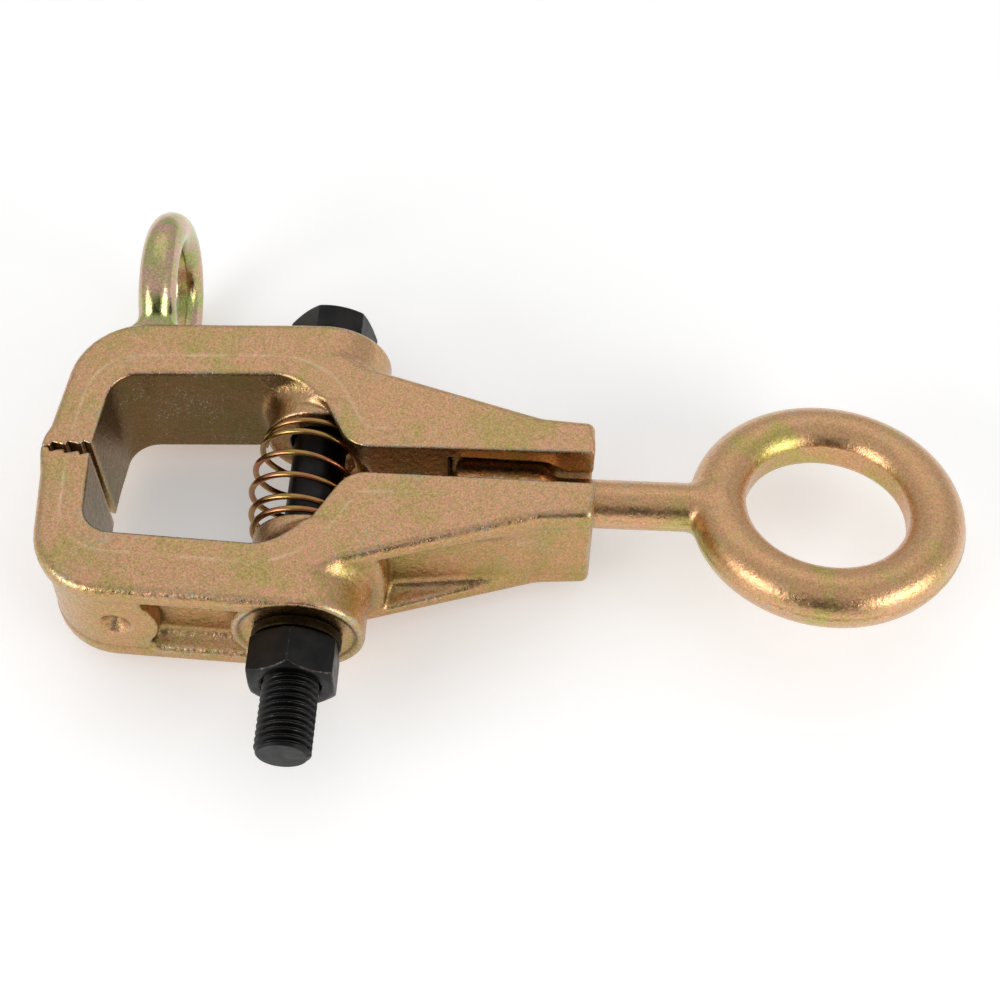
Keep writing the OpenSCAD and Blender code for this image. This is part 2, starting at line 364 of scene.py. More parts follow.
def jaw_field(p):
    x, y, z = p.T
    plate = jaw_plate(p)
    boss = disc_y(p, 0, ARM_INNER_Y + 4, BOSS_Y, BOSS_R, 2.4)
    fillet = 0.2 + 3.8 * ramp(x, 0.5, 7)
    d = smooth_min(plate, boss, fillet)
    seat_boss = disc_y(p, 0, SEAT_Y, ARM_INNER_Y + 4, SEAT_BOSS_R, 1.2)
    d = smooth_min(d, seat_boss, 0.2 + 7.0 * ramp(y, SEAT_Y + 0.5, SEAT_Y + 5))
    d = smooth_max(d, np.abs(z) - HALF_T, 0.5)
    d = smooth_max(d, -arm_pocket(p), 1.4)
    d = smooth_max(d, -web_pocket(p), 1.4)
    d = smooth_max(d, -wedge_pocket(p), 0.8)
    pocket = disc_y(p, 0, -30, SEAT_Y, SEAT_R, 0.3)
    d = smooth_max(d, -pocket, 0.7)
    recess = disc_y(p, 0, RECESS_Y, OUTSIDE_Y, RECESS_R, 0.3)
    d = smooth_max(d, -recess, 3.0)
    return smooth_max(d, -(np.hypot(x, z) - BOLT_HOLE_R), 0.6)


def far_jaw_field(p):
    spot_face = disc_y(p, -SIDE_X, SPOT_Y, OUTSIDE_Y, COLLAR_R + 1, 0.3)
    thread = disc_y(p, -SIDE_X, SPOT_Y - SIDE_THREAD_LEN - 1, OUTSIDE_Y, SIDE_THREAD_R + 0.05, 0.1)
    return smooth_max(smooth_max(jaw_field(p), -spot_face, 0.5), -thread, 0.3)


def near_jaw_field(p):
    q = p * np.array([1, -1, 1])
    d = jaw_field(q)
    above = q[:, 1] - (ARM_Y + ARM_SLOPE * FRONT_BOSS_X - 0.75) + DIMPLE_DEPTH
    cone = np.hypot(q[:, 0] - FRONT_BOSS_X, q[:, 2]) - 1.0 - (DIMPLE_R - 1.0) * above / DIMPLE_DEPTH
    dimple = smooth_max(cone * 0.55, -above, 0.3)
    return smooth_max(d, -dimple, 0.15)


def throat_painted_shade(p):
    """Painted shade on the throat's walls, which face each other, as a mask that darkens their plating
    colour.
    """
    x, y, z = p[:, 0], np.abs(p[:, 1]), np.abs(p[:, 2])
    wall = (1 - ramp(TO_INNER(x, y), 0.5, 1.6)) * (1 - ramp(z, HALF_T - 1.5, HALF_T - 0.5))
    return wall * (1 - ramp(x, 6, 16)) * ramp(y, 1, 4)


def jaw_seam(p):
    """The line where the lowered band ends on the jaw's top and bottom faces, where a highlight is painted.
    """
    x, y, z = p[:, 0], np.abs(p[:, 1]), p[:, 2]
    line = np.exp(-(((TO_INNER(x, y) - SEAM_IN) / 0.42) ** 2)) * ramp(np.abs(z), HALF_T - 2, HALF_T - 1)
    return line * ramp(y, 2, 9) * (1 - ramp(x, 16, 36))


# ------------------------------------------------------------------ the eyes' fields


def pull_eye_field(p):
    c, s = math.cos(-SWIVEL), math.sin(-SWIVEL)
    x, y, z = p[:, 0], p[:, 1] * c - p[:, 2] * s, p[:, 1] * s + p[:, 2] * c
    around = np.hypot(x - RING_X, y)
    ring = np.hypot((around - RING_R), z) - RING_BAR_R
    shaft_r = np.hypot(y, z)
    head = np.interp(x, [WEDGE_BACK_X, SHOULDER_X], [WEDGE_R, WEDGE_FRONT_R])
    barrel = smooth_max(shaft_r - head, x - SHOULDER_X - (WEDGE_FRONT_R - shaft_r), 1.2)
    barrel = smooth_max(barrel, WEDGE_BACK_X - x, 2.2)
    shank = np.maximum(shaft_r - SHANK_R, np.maximum(WEDGE_BACK_X + 4 - x, x - RING_X + RING_R))
    d = smooth_min(barrel, shank, 2.0)
    d = smooth_min(d, ring, 2.8)
    flash = ramp(around - RING_R, 0, 6) * (x > RING_X - RING_R - 4)
    flash = np.maximum(flash, 0.6 * ramp(x, SHOULDER_X + 8, SHOULDER_X + 12) * (x < RING_X - RING_R))
    d = d - 0.34 * flash * np.exp(-((z / 0.55) ** 2))
    return np.maximum(d, RING_LAND_R - around)


def pull_eye_seam(p):
    """The forging's parting line, round the outside of the ring and along the shank, where a highlight is
    painted.
    """
    return np.exp(-((p[:, 2] / 0.5) ** 2)) * (np.hypot(p[:, 0] - RING_X, p[:, 1]) > RING_R + 3)


def side_eye_field(p):
    x, y, z = p[:, 0] + SIDE_X, p[:, 1], p[:, 2]
    around = np.hypot(y - SIDE_RING_Y, z)
    ring = np.hypot(around - SIDE_RING_R, x) - SIDE_BAR_R
    r = np.hypot(x, z)
    collar = rounded_cap(r - COLLAR_R, np.abs(y - SPOT_Y - COLLAR_T / 2) - COLLAR_T / 2, 1.6)
    neck_ends = [SPOT_Y + COLLAR_T - 1, SPOT_Y + COLLAR_T + NECK_T]
    neck_r = np.interp(y, neck_ends, [COLLAR_R - 2.5, SIDE_BAR_R + 0.6])
    neck = np.maximum(r - neck_r, np.abs(y - SPOT_Y - (COLLAR_T + NECK_T) / 2) - (COLLAR_T + NECK_T) / 2)
    half_thread = SIDE_THREAD_LEN / 2
    thread = rounded_cap(r - SIDE_THREAD_R, np.abs(y - SPOT_Y + half_thread) - half_thread - 1, 1.0)
    d = smooth_min(smooth_min(collar, neck, 2.5), ring, 4.0)
    d = np.minimum(d, thread)
    return np.maximum(d, SIDE_LAND_R - around)


def hexagon_field(p, y0, t, turn, both_ends):
    """A hexagon along Y from y0, t thick, with its corners bevelled at its outer end or at both."""
    x, y, z = p.T
    sides = [math.radians(turn + 30 + 60 * i) for i in range(6)]
    d = np.max([x * math.cos(a) - z * math.sin(a) for a in sides], axis=0) - HEX_AF / 2
    r = np.hypot(x, z)
    d = smooth_max(d, np.abs(y - y0 - t / 2) - t / 2, 0.4)
    bevel = (r - HEX_AF / 2 + 0.5) * math.tan(HEX_BEVEL)
    d = smooth_max(d, (y - y0 - t + bevel) * math.cos(HEX_BEVEL), 0.35)
    if both_ends:
        d = smooth_max(d, (y0 - y + bevel) * math.cos(HEX_BEVEL), 0.35)
    return d


def head_field(p):
    return hexagon_field(p, HEX_Y, HEAD_T, HEAD_TURN, False)


def nut_field(p):
    q = p * np.array([1, -1, 1])
    y0 = HEX_Y + NUT_GAP
    d = hexagon_field(q, y0, NUT_T, 90, True)
    r = np.hypot(q[:, 0], q[:, 2])
    d = smooth_max(d, BOLT_R + 0.05 - r, 0.2)
    mouth = r - BOLT_R - 1.0 - np.abs(q[:, 1] - y0 - NUT_T / 2) + NUT_T / 2
    return smooth_max(d, -mouth * 0.7, 0.2)


# ------------------------------------------------------------------ meshes


def to_row(points):
    return (points - np.array([RING_X, 0, 0])) * MM


def from_row(points):
    return points / MM + np.array([RING_X, 0, 0])


def read_points(mesh):
    co = np.zeros(len(mesh.vertices) * 3)
    mesh.vertices.foreach_get("co", co)
    return co.reshape(-1, 3)


def write_points(mesh, points):
    mesh.vertices.foreach_set("co", points.astype(np.float32).ravel())
    mesh.update()


def new_object(name, mesh):
    obj = bpy.data.objects.new(name, mesh)
    bpy.context.scene.collection.objects.link(obj)
    return obj


def merged(*meshes):
    bm = bmesh.new()
    for mesh in meshes:
        bm.from_mesh(mesh)
    out = bpy.data.meshes.new("merged")
    bm.to_mesh(out)
    bm.free()
    return out


def remeshed(obj, voxel):
    mod = obj.modifiers.new("voxels", "REMESH")
    mod.mode = "VOXEL"
    mod.voxel_size = voxel * MM
    mod.adaptivity = 0
    graph = bpy.context.evaluated_depsgraph_get()
    mesh = bpy.data.meshes.new_from_object(obj.evaluated_get(graph))
    old = obj.data
    obj.modifiers.clear()
    obj.data = mesh
    bpy.data.meshes.remove(old)


def gradient(field, p, h=0.05):
    corners = np.array([[1, -1, -1], [-1, -1, 1], [-1, 1, -1], [1, 1, 1]], float)
    g = sum(np.outer(field(p + h * c), c) for c in corners) / (4 * h)
    return g / np.maximum(np.linalg.norm(g, axis=1, keepdims=True), 1e-6)


def drawn_onto(field, p, rounds):
    for _ in range(rounds):
        d = np.clip(field(p), -1.0, 1.0)
        p = p - gradient(field, p) * d[:, None] * 0.9
    return p


def relaxed(mesh, p):
    """Each point moved half way to the mean of its neighbours, which evens the faces out."""
    edges = np.zeros(len(mesh.edges) * 2, int)
    mesh.edges.foreach_get("vertices", edges)
    a, b = edges.reshape(-1, 2).T
    total, count = np.zeros_like(p), np.zeros(len(p))
    for i, j in ((a, b), (b, a)):
        for k in range(3):
            total[:, k] += np.bincount(i, p[j, k], len(p))
        count += np.bincount(i, minlength=len(p))
    return p + 0.5 * (total / np.maximum(count, 1)[:, None] - p)


def add_value(mesh, name, values):
    mesh.attributes.new(name, "FLOAT", "POINT").data.foreach_set("value", values.astype(np.float32))


def field_object(name, source, field, voxel, seam=None, painted_shade=None):
    """A copy of the source mesh, remeshed and drawn onto the field, with its material's values per point."""
    obj = new_object(name, merged(source))
    for rounds in (10, 8):
        remeshed(obj, voxel)
        p = drawn_onto(field, from_row(read_points(obj.data)), rounds)
        write_points(obj.data, to_row(p))
    for _ in range(3):
        p = drawn_onto(field, relaxed(obj.data, p), 3)
    write_points(obj.data, to_row(p))
    reach = 0.9
    bend = sum(field(p + reach * s * axis) for axis in np.eye(3) for s in (1, -1)) / reach
    normal = gradient(field, p)
    # hollow and crease are the masks for the painted shade in the plating.
    hollow = sum(1 - np.clip(field(p + normal * t) / t, 0, 1) for t in (1.5, 3.0, 6.0)) / 3
    add_value(obj.data, "edge", np.clip(bend, 0, 1))
    add_value(obj.data, "crease", np.clip(-bend, 0, 1))
    add_value(obj.data, "hollow", np.clip(hollow, 0, 1))
    if painted_shade:
        # Painted shade on steep side faces, by the tilt of their normal.
        add_value(obj.data, "side_shade", 1 - ramp(np.abs(normal[:, 2]), 0.2, 0.8))
        # The throat mask is painted shade.
        add_value(obj.data, "throat_shade", painted_shade(p))
    if seam:
        # seam is the mask for the painted highlight line.
        add_value(obj.data, "seam", seam(p))
    obj.data.shade_smooth()
    return obj


def grid_object(name, rows):
    """A mesh from rows of points in mm, each row a ring, capped at both ends."""
    bm = bmesh.new()
    rings = [[bm.verts.new(v) for v in to_row(np.array(row, float))] for row in rows]
    for low, high in zip(rings, rings[1:]):
        n = len(low)
        for k in range(n):
            m = (k + 1) % n
            bm.faces.new((low[k], low[m], high[m], high[k]))
    bm.faces.new(list(reversed(rings[0])))
    bm.faces.new(rings[-1])
    bmesh.ops.remove_doubles(bm, verts=bm.verts, dist=1e-6)
    bmesh.ops.recalc_face_normals(bm, faces=bm.faces)
    mesh = bpy.data.meshes.new(name)
    bm.to_mesh(mesh)
    bm.free()
    mesh.shade_smooth()
    return new_object(name, mesh)


def prism_mesh(sides, r, y0, y1, turn):
    """A closed prism along Y, in the row frame, as a start for a field."""
    bm = bmesh.new()
    rings = []
    for y in (y0, y1):
        angles = [math.radians(turn + 360 * k / sides) for k in range(sides)]
        ring = np.array([[r * math.cos(a), y, -r * math.sin(a)] for a in angles])
        rings.append([bm.verts.new(v) for v in to_row(ring)])
    low, high = rings
    for k in range(sides):
        m = (k + 1) % sides
        bm.faces.new((low[k], low[m], high[m], high[k]))
    bm.faces.new(list(reversed(low)))
    bm.faces.new(high)
    bmesh.ops.recalc_face_normals(bm, faces=bm.faces)
    mesh = bpy.data.meshes.new("prism")
    bm.to_mesh(mesh)
    bm.free()
    return mesh


def thread_profile(phase):
    """Depth below the crest over one pitch, from 0 at the crest to 1 at the root."""
    crest, side_shade = 0.08, 0.40
    away = np.abs(phase - 0.5) * 2
    return np.clip((away - crest) / (side_shade * 2 - crest), 0, 1)


def threaded_rod(name, y_tip, y_end, y_top, r, pitch, around=72, per_pitch=14):
    """A rod along Y, threaded from its chamfered tip to y_end and plain up to y_top."""
    depth = 0.61 * pitch
    rows = []
    angles = 2 * math.pi * np.arange(around) / around
    lead = pitch * angles / (2 * math.pi)
    face_r = r - 0.75
    rows.append(ring_points(face_r - 0.5, np.full(around, y_tip), angles))
    count = int((y_end - y_tip) / pitch * per_pitch) + per_pitch * 2
    for i in range(count):
        y = y_tip - pitch + pitch * i / per_pitch + lead
        phase = (i / per_pitch) % 1.0
        runout = 1 - ramp(y, y_end - 1.6 * pitch, y_end)
        radius = r - depth * thread_profile(phase) * runout
        y = np.clip(y, y_tip, y_end)
        radius = np.minimum(radius, face_r - 0.3 + (y - y_tip) * 1.1)
        rows.append(ring_points(radius, y, angles))
    for y in np.linspace(y_end + 0.5, y_top, 24):
        rows.append(ring_points(r, np.full(around, y), angles))
    obj = grid_object(name, rows)
    co = from_row(read_points(obj.data))
    radial = np.hypot(co[:, 0] - co[:, 0].mean(), co[:, 2])
    crest = np.clip(1 - (r - radial) / (0.3 * depth), 0, 1) * (co[:, 1] < y_end - pitch)
    add_value(obj.data, "edge", crest)
    add_value(obj.data, "crease", np.clip((r - radial) / depth, 0, 1) * (co[:, 1] > y_tip + 1))
    add_value(obj.data, "hollow", np.zeros(len(co)))
    return obj


def ring_points(radius, y, angles):
    radius = np.broadcast_to(radius, angles.shape)
    return np.stack([radius * np.cos(angles), y, -radius * np.sin(angles)], axis=1)


def joined(name, *objs):
    with bpy.context.temp_override(active_object=objs[0], selected_editable_objects=list(objs)):
        bpy.ops.object.join()
    objs[0].name = name
    return objs[0]


def revolved(name, profile, around=96):
    """A ring along Y from a closed profile of (radius, y) points, in mm."""
    bm = bmesh.new()
    rings = []
    for k in range(around):
        a = 2 * math.pi * k / around
        pts = np.array([[r * math.cos(a), y, r * math.sin(a)] for r, y in profile])
        rings.append([bm.verts.new(v) for v in to_row(pts)])
    n = len(profile)
    for k in range(around):
        low, high = rings[k], rings[(k + 1) % around]
        for i in range(n):
            j = (i + 1) % n
            bm.faces.new((low[i], low[j], high[j], high[i]))
    bmesh.ops.recalc_face_normals(bm, faces=bm.faces)
    mesh = bpy.data.meshes.new(name)
    bm.to_mesh(mesh)
    bm.free()
    mesh.shade_smooth()
    mesh.set_sharp_from_angle(angle=math.radians(30))
    return new_object(name, mesh)


# ------------------------------------------------------------------ spring


def coil_y(t):
    pitch = 2 * WIRE_R + 0.15
    end_y = SEAT_Y - SEAT_GAP - WIRE_R
    active = 2 * (end_y - pitch * CLOSED_TURNS) / (COIL_TURNS - 2 * CLOSED_TURNS)
    if t > COIL_TURNS / 2:
        return -coil_y(COIL_TURNS - t)
    if t < CLOSED_TURNS:
        return end_y - pitch * t
    return end_y - pitch * CLOSED_TURNS - active * (t - CLOSED_TURNS)


def coil_point(t):
    y = coil_y(t)
    end_y = SEAT_Y - SEAT_GAP - WIRE_R
    bow = -BOW_END - BOW_MID * math.cos(math.pi / 2 * y / end_y)
    a = 2 * math.pi * t
    return np.array([bow - COIL_R * math.cos(a), y, COIL_R * math.sin(a)])


def make_spring():
    steps, sides = 64, 16
    n = int(steps * COIL_TURNS)
    rows = []
    for i in range(n + 1):
        t = i / steps
        a = 2 * math.pi * t
        out = np.array([-math.cos(a), 0, math.sin(a)])
        end = min(i, n - i)
        r = WIRE_R * min(1.0, 0.8 + 0.1 * end)
        c = coil_point(t)
        ring = [2 * math.pi * k / sides for k in range(sides)]
        rows.append([c + r * (out * math.cos(b) + np.array([0, math.sin(b), 0])) for b in ring])
    return grid_object("jaw_spring_wire", rows)


# ------------------------------------------------------------------ materials

RANGE_INPUTS = ("From Min", "From Max", "To Min", "To Max")


def linear(r, g, b):
    """An sRGB colour, 0 to 255, as linear light."""
    light = [((c / 255 + 0.055) / 1.055) ** 2.4 if c > 10 else c / 255 / 12.92 for c in (r, g, b)]
    return (*light, 1.0)


class Shader:
    """A node material, built by short calls that link each input given as a socket."""

    def __init__(self, name):
        self.mat = bpy.data.materials.new(name)
        self.mat.use_nodes = True
        self.tree = self.mat.node_tree
        self.bsdf = self.tree.nodes["Principled BSDF"]
        self.place = self.node("ShaderNodeTexCoord").outputs["Object"]

    def node(self, kind, **settings):
        made = self.tree.nodes.new(kind)
        for key, value in settings.items():
            setattr(made, key, value)
        return made

    def put(self, socket, value):
        if isinstance(value, bpy.types.NodeSocket):
            self.tree.links.new(value, socket)
        else:
            socket.default_value = value

    def noise(self, size_mm, detail=3.0, rough=0.55, shift=0.0):
        made = self.node("ShaderNodeTexNoise", noise_dimensions="4D")
        self.put(made.inputs["Vector"], self.place)
        self.put(made.inputs["W"], shift)
        self.put(made.inputs["Scale"], 1 / (size_mm * MM))
        self.put(made.inputs["Detail"], detail)
        self.put(made.inputs["Roughness"], rough)
        return made.outputs["Fac"]

    def value(self, name):
        return self.node("ShaderNodeAttribute", attribute_name=name).outputs["Fac"]

    def maths(self, how, a, b=0.0, clamp=False):
        made = self.node("ShaderNodeMath", operation=how, use_clamp=clamp)
        self.put(made.inputs[0], a)
        self.put(made.inputs[1], b)
        return made.outputs[0]

    def ramp(self, value, low, high, out_low=0.0, out_high=1.0):
        made = self.node("ShaderNodeMapRange", interpolation_type="SMOOTHSTEP")
        self.put(made.inputs["Value"], value)
        for key, v in zip(RANGE_INPUTS, (low, high, out_low, out_high)):
            self.put(made.inputs[key], v)
        return made.outputs["Result"]

    def grey(self, value):
        made = self.node("ShaderNodeCombineColor")
        for channel in made.inputs:
            self.put(channel, value)
        return made.outputs["Color"]

    def mix(self, factor, a, b, how="MIX"):
        made = self.node("ShaderNodeMix", data_type="RGBA", blend_type=how)
        for socket, v in zip((made.inputs[0], made.inputs[6], made.inputs[7]), (factor, a, b)):
            self.put(socket, v)
        return made.outputs[2]

    def bump(self, height, depth_mm, under=None):
        made = self.node("ShaderNodeBump")
        self.put(made.inputs["Height"], height)
        self.put(made.inputs["Distance"], depth_mm * MM)
        self.put(made.inputs["Strength"], 1.0)
        if under:
            self.put(made.inputs["Normal"], under)
        return made.outputs["Normal"]

    def finish(self, **sockets):
        for name, value in sockets.items():
            self.put(self.bsdf.inputs[name.replace("_", " ")], value)
        return self.mat


def zinc(name, pink, olive, patch_mm, patch, shares, gloss, grain, wear=1.0, tint=None, coat=0.22):
    """Yellow zinc plating on blasted steel: pink and olive tints, a cast grain and grey worn specks, with
    painted shade in hollows, creases, on side faces and in the throat, and a painted highlight along seam
    lines.

    patch is the noise range that turns from pink to olive over patch_mm, shares the olive in patches and in
    mottle, gloss the roughness range, grain the bump depth in mm, and wear the strength of the worn specks.
    """
    s = Shader(name)
    patches = s.ramp(s.noise(patch_mm, 2.5, 0.6), *patch)
    mottle = s.ramp(s.noise(1.1, 4.0, 0.8, 4.0), 0.42, 0.60)
    in_patches = s.maths("MULTIPLY", patches, shares[0])
    in_mottle = s.maths("MULTIPLY", mottle, shares[1])
    colour = s.mix(s.maths("ADD", in_patches, in_mottle, clamp=True), pink, olive)
    if tint:
        film = s.ramp(s.noise(patch_mm * 0.55, 2.0, 0.5, 9.0), 0.42, 0.66, 0.0, 0.7)
        colour = s.mix(film, colour, tint)
    tone = s.ramp(s.noise(0.6, 3.0, 0.8, 21.0), 0.30, 0.70, 0.68, 1.30)
    colour = s.mix(1.0, colour, s.grey(tone), "MULTIPLY")
    # Painted shade: the colour darkens towards olive in hollows, partly the darker plating that gathers
    # there, and in concave creases and on the throat walls.
    hollow = s.maths("MULTIPLY", s.ramp(s.value("hollow"), 0.10, 0.85), 0.22)
    painted_shade = s.maths("MAXIMUM", hollow, s.maths("MULTIPLY", s.value("crease"), 0.85))
    painted_shade = s.maths("MAXIMUM", painted_shade, s.maths("MULTIPLY", s.value("throat_shade"), 0.70))
    colour = s.mix(painted_shade, colour, linear(82, 67, 24))
    # Painted shade: steep side faces are multiplied darker and yellower than the tops.
    colour = s.mix(s.value("side_shade"), colour, (0.88, 0.86, 0.68, 1.0), "MULTIPLY")
    speck = s.noise(0.8, 2.0, 0.8, 2.0)
    spots = s.noise(11.0, 3.0, 0.7, 7.0)
    edge = s.maths("MULTIPLY", s.value("edge"), 0.14)
    worn = s.maths("ADD", s.maths("ADD", speck, edge), s.maths("MULTIPLY", spots, 0.45))
    worn = s.ramp(worn, 0.84, 0.93, 0.0, 0.7 * wear)
    colour = s.mix(worn, colour, linear(178, 186, 172))
    # Painted highlight: a pale line, fading in and out along its length, on the seam lines.
    seam_highlight = s.ramp(s.noise(9.0, 3.0, 0.6, 15.0), 0.36, 0.62, 0.02, 0.36)
    colour = s.mix(s.maths("MULTIPLY", s.value("seam"), seam_highlight), colour, linear(250, 228, 196))
    pits = s.ramp(s.noise(0.6, 3.0, 0.7, 12.0), 0.64, 0.71, 0.0, 0.7)
    colour = s.mix(pits, colour, linear(86, 70, 34))
    rough = s.ramp(s.noise(2.2, 3.0, 0.6, 5.0), 0.3, 0.7, gloss[0], gloss[1])
    rough = s.maths("ADD", rough, s.maths("MULTIPLY", worn, 0.10))
    lumps = s.bump(s.noise(1.7, 3.0, 0.6, 3.0), grain * 2.4)
    normal = s.bump(s.noise(0.6, 3.0, 0.7), grain, lumps)
    s.bsdf.inputs["Metallic"].default_value = 1.0
    s.bsdf.inputs["Coat Weight"].default_value = coat
    s.bsdf.inputs["Coat Roughness"].default_value = 0.18
    return s.finish(Base_Color=colour, Roughness=rough, Normal=normal, Coat_Normal=normal)


def black_oxide(name):
    s = Shader(name)
    cloud = s.ramp(s.noise(6.0, 3.0, 0.6), 0.35, 0.65)
    colour = s.mix(cloud, linear(40, 40, 41), linear(50, 49, 48))
    worn = s.maths("ADD", s.maths("MULTIPLY", s.value("edge"), 0.42), s.noise(1.1, 3.0, 0.75, 3.0))
    worn = s.ramp(worn, 0.86, 1.12, 0.0, 0.8)
    colour = s.mix(worn, colour, linear(118, 108, 98))
    dust = s.ramp(s.noise(0.35, 2.0, 0.6, 8.0), 0.72, 0.78, 0.0, 0.4)
    colour = s.mix(dust, colour, linear(110, 108, 104))
    rough = s.ramp(s.noise(3.0, 3.0, 0.6, 5.0), 0.3, 0.7, 0.34, 0.46)
    normal = s.bump(s.noise(0.5, 3.0, 0.7), 0.012)
    s.bsdf.inputs["Metallic"].default_value = 1.0
    return s.finish(Base_Color=colour, Roughness=rough, Normal=normal)


def washer_plating(name):
    # The washer's dark brown is painted shade of the recess round the nut.
    s = Shader(name)
    cloud = s.ramp(s.noise(1.2, 3.0, 0.7), 0.35, 0.65)
    colour = s.mix(cloud, linear(50, 40, 24), linear(30, 26, 17))
    glint = s.ramp(s.noise(0.45, 3.0, 0.8, 6.0), 0.64, 0.72, 0.0, 0.6)
    colour = s.mix(glint, colour, linear(98, 78, 48))
    rough = s.ramp(s.noise(1.8, 3.0, 0.6, 5.0), 0.3, 0.7, 0.42, 0.56)
    normal = s.bump(s.noise(0.5, 3.0, 0.7), 0.04)
    s.bsdf.inputs["Metallic"].default_value = 1.0
    return s.finish(Base_Color=colour, Roughness=rough, Normal=normal)


def spring_plating(name):
    s = Shader(name)
    copper = s.ramp(s.noise(7.0, 2.0, 0.5), 0.42, 0.60)
    colour = s.mix(copper, linear(176, 140, 84), linear(176, 118, 86))
    green = s.ramp(s.noise(5.0, 2.0, 0.5, 6.0), 0.54, 0.64, 0.0, 0.6)
    colour = s.mix(green, colour, linear(138, 132, 66))
    rough = s.ramp(s.noise(1.5, 3.0, 0.6, 5.0), 0.3, 0.7, 0.16, 0.28)
    normal = s.bump(s.noise(0.5, 2.0, 0.6), 0.01)
    s.bsdf.inputs["Metallic"].default_value = 1.0
    return s.finish(Base_Color=colour, Roughness=rough, Normal=normal)


def dress(obj, material, body, slot, *nodes):
    obj.data.materials.clear()
    obj.data.materials.append(material)
    if body:
        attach(obj, body)
    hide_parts(*nodes)


# ------------------------------------------------------------------ the pieces

JAW_ZINC = zinc("jaw_plating", linear(214, 160, 128), linear(172, 162, 88), patch_mm=16.0, grain=0.100,
                patch=(0.44, 0.66), shares=(0.40, 0.58), gloss=(0.24, 0.34), coat=0.10)
RING_ZINC = zinc("ring_plating", linear(216, 160, 122), linear(180, 176, 84), patch_mm=24.0, grain=0.085,
                 patch=(0.50, 0.66), shares=(0.58, 0.40), gloss=(0.24, 0.34), coat=0.40)
EYE_ZINC = zinc("eye_plating", linear(206, 176, 134), linear(158, 182, 100), patch_mm=11.0, grain=0.030,
                patch=(0.40, 0.56), shares=(0.60, 0.36), gloss=(0.16, 0.26), wear=0.5,
                tint=linear(212, 166, 158))
OXIDE = black_oxide("black_oxide")
SHADED_WASHER_ZINC = washer_plating("washer_plating")
SPRING_ZINC = spring_plating("spring_plating")

# Voxel sizes, in mm, for large, middling and small pieces.
LARGE, MEDIUM, SMALL = 0.55, 0.45, 0.40

for body, field in (("near_jaw", near_jaw_field), ("far_jaw", far_jaw_field)):
    jaw = field_object(body + "_casting", nodes[body].data, field, LARGE, jaw_seam, throat_painted_shade)
    dress(jaw, JAW_ZINC, body, "jaw_plating", body)

pull_source = merged(nodes["pull_eye"].data, nodes["pull_shank"].data)
pull_eye = field_object("pull_eye_forging", pull_source, pull_eye_field, LARGE, pull_eye_seam)
dress(pull_eye, RING_ZINC, "pull_eye", "ring_plating", "pull_eye", "pull_shank")
side_eye = field_object("side_eye_forging", nodes["side_eye"].data, side_eye_field, MEDIUM)
dress(side_eye, EYE_ZINC, "side_eye", "eye_plating", "side_eye")

head_source = prism_mesh(6, HEX_AF / math.sqrt(3), HEX_Y, HEX_Y + HEAD_T, HEAD_TURN)
head = field_object("bolt_head", head_source, head_field, SMALL)
rod = threaded_rod("bolt_rod", BOLT_TIP_Y, THREAD_END_Y, HEX_Y + 1, BOLT_R, THREAD_PITCH)
dress(joined("cross_bolt_threaded", rod, head), OXIDE, "bolt_group", "black_oxide", "cross_bolt")
nut = field_object("cross_nut_hex", nodes["cross_nut"].data, nut_field, SMALL)
dress(nut, OXIDE, "cross_nut", "black_oxide", "cross_nut")

for side, node, body in ((1, "head_washer", "bolt_group"), (-1, "nut_washer", "near_washer")):
    y0, y1, c = HEX_Y - WASHER_T, HEX_Y, 0.35
    r0, r1 = BOLT_R + 0.5, WASHER_R
    profile = [(r0, y0), (r1 - c, y0), (r1, y0 + c), (r1, y1 - c), (r1 - c, y1), (r0, y1)]
    washer = revolved(node + "_ring", [(r, side * y) for r, y in profile])
    dress(washer, SHADED_WASHER_ZINC, body, "washer_plating", node)

# The spring is attached to no body; its transform is baked into its mesh.
spring = make_spring()
dress(spring, SPRING_ZINC, None, "spring_plating", "jaw_spring")
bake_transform(spring)

# ------------------------------------------------------------------ floor, light and camera

FLOOR_Z = CAD_BOX[0][2] - 0.0002


def make_floor():
    bm = bmesh.new()
    bmesh.ops.create_grid(bm, x_segments=1, y_segments=1, size=4.0)
    mesh = bpy.data.meshes.new("floor")
    bm.to_mesh(mesh)
    bm.free()
    floor = new_object("floor", mesh)
    floor.location.z = FLOOR_Z
    mat = bpy.data.materials.new("floor")
    mat.use_nodes = True
    bsdf = mat.node_tree.nodes["Principled BSDF"]
    bsdf.inputs["Base Color"].default_value = (0.93, 0.93, 0.93, 1)
    bsdf.inputs["Roughness"].default_value = 0.9
    tree = mat.node_tree
    place = tree.nodes.new("ShaderNodeTexCoord")
    reach = tree.nodes.new("ShaderNodeVectorMath")
    reach.operation = "LENGTH"
    fade = tree.nodes.new("ShaderNodeMapRange")
    fade.interpolation_type = "SMOOTHSTEP"
    tree.links.new(place.outputs["Object"], reach.inputs[0])
    tree.links.new(reach.outputs["Value"], fade.inputs["Value"])
    for key, value in zip(RANGE_INPUTS, (0.30, 1.0, 0.27, 0.0)):
        fade.inputs[key].default_value = value
    bsdf.inputs["Emission Color"].default_value = (1, 1, 1, 1)
    tree.links.new(fade.outputs["Result"], bsdf.inputs["Emission Strength"])
    mesh.materials.append(mat)


def soft_light(name, place, target, size, watts):
    data = bpy.data.lights.new(name, "AREA")
    data.shape = "RECTANGLE"
    data.size, data.size_y = size
    data.energy = watts
    lamp = bpy.data.objects.new(name, data)
    bpy.context.scene.collection.objects.link(lamp)
    lamp.location = place
    lamp.rotation_euler = (Vector(target) - Vector(place)).to_track_quat("-Z", "Y").to_euler()


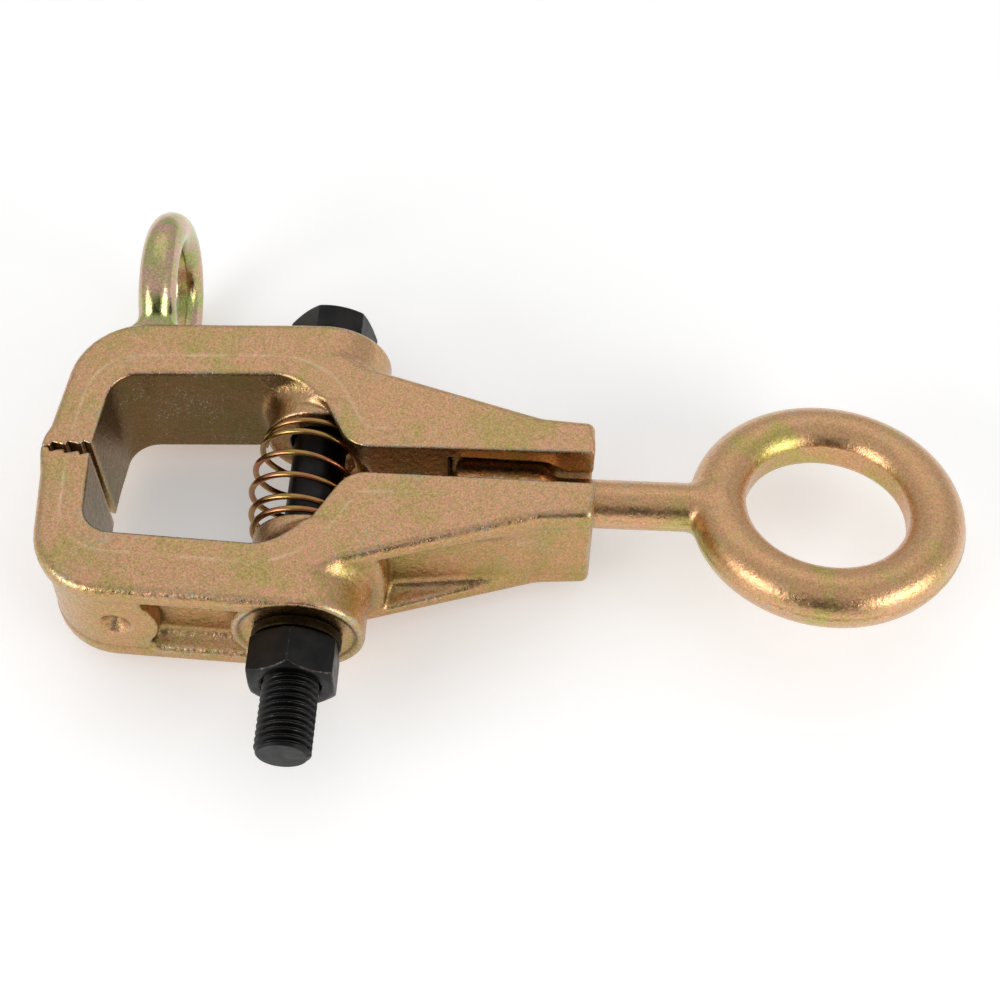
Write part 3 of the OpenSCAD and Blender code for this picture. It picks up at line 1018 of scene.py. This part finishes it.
def make_world():
    """A pale sky with a dim opening in front, part of the way up, as in a light tent open to the camera."""
    world = bpy.data.worlds.new("studio")
    bpy.context.scene.world = world
    world.use_nodes = True
    tree = world.node_tree
    split = tree.nodes.new("ShaderNodeSeparateXYZ")
    tree.links.new(tree.nodes.new("ShaderNodeTexCoord").outputs["Generated"], split.inputs[0])

    def fade(value, low, high, out_low, out_high):
        made = tree.nodes.new("ShaderNodeMapRange")
        made.interpolation_type = "SMOOTHSTEP"
        tree.links.new(value, made.inputs["Value"])
        for key, v in zip(RANGE_INPUTS, (low, high, out_low, out_high)):
            made.inputs[key].default_value = v
        return made.outputs["Result"]

    def maths(how, first, second):
        made = tree.nodes.new("ShaderNodeMath")
        made.operation = how
        tree.links.new(first, made.inputs[0])
        tree.links.new(second, made.inputs[1])
        return made.outputs[0]

    sky = fade(split.outputs["Z"], 0.0, 0.45, 0.56, 0.64)
    beside = fade(split.outputs["Y"], -0.74, -0.42, 0.0, 1.0)
    above = fade(split.outputs["Z"], 0.55, 0.90, 0.0, 1.0)
    below = fade(split.outputs["Z"], 0.08, 0.30, 1.0, 0.0)
    around = maths("MAXIMUM", maths("MAXIMUM", beside, above), below)
    opening = fade(around, 0.0, 1.0, 0.08, 1.0)
    back = tree.nodes["Background"]
    back.inputs["Color"].default_value = (1, 1, 1, 1)
    tree.links.new(maths("MULTIPLY", sky, opening), back.inputs["Strength"])


def make_light():
    middle = (-0.10, 0, 0)
    soft_light("top_back", (-0.1, 0.7, 1.0), middle, (1.4, 0.8), 1.0)
    soft_light("front_left", (-0.95, -0.70, 0.46), middle, (0.70, 0.50), 5.0)
    soft_light("front_right", (0.95, -0.62, 0.44), middle, (0.85, 0.50), 6.0)


def make_camera():
    azimuth, elevation, roll = math.radians(1.77), math.radians(56.70), math.radians(0.82)
    right_mm, up_mm, back_mm = 55.17, -2.21, 488.5
    ce = math.cos(elevation)
    back = Vector((math.sin(azimuth) * ce, -math.cos(azimuth) * ce, math.sin(elevation)))
    level = Vector((math.cos(azimuth), math.sin(azimuth), 0))
    rise = back.cross(level)
    right = level * math.cos(roll) + rise * math.sin(roll)
    up = rise * math.cos(roll) - level * math.sin(roll)
    place = (right * right_mm + up * up_mm + back * back_mm - Vector((RING_X, 0, 0))) * MM
    data = bpy.data.cameras.new("camera")
    data.sensor_width = 36
    data.lens = data.sensor_width * 1.6385
    camera = bpy.data.objects.new("camera", data)
    bpy.context.scene.collection.objects.link(camera)
    turn = Matrix((right, up, back)).transposed().to_4x4()
    camera.matrix_world = Matrix.Translation(place) @ turn
    bpy.context.scene.camera = camera


make_floor()
make_world()
make_light()
make_camera()
bpy.context.scene.view_settings.view_transform = "Standard"
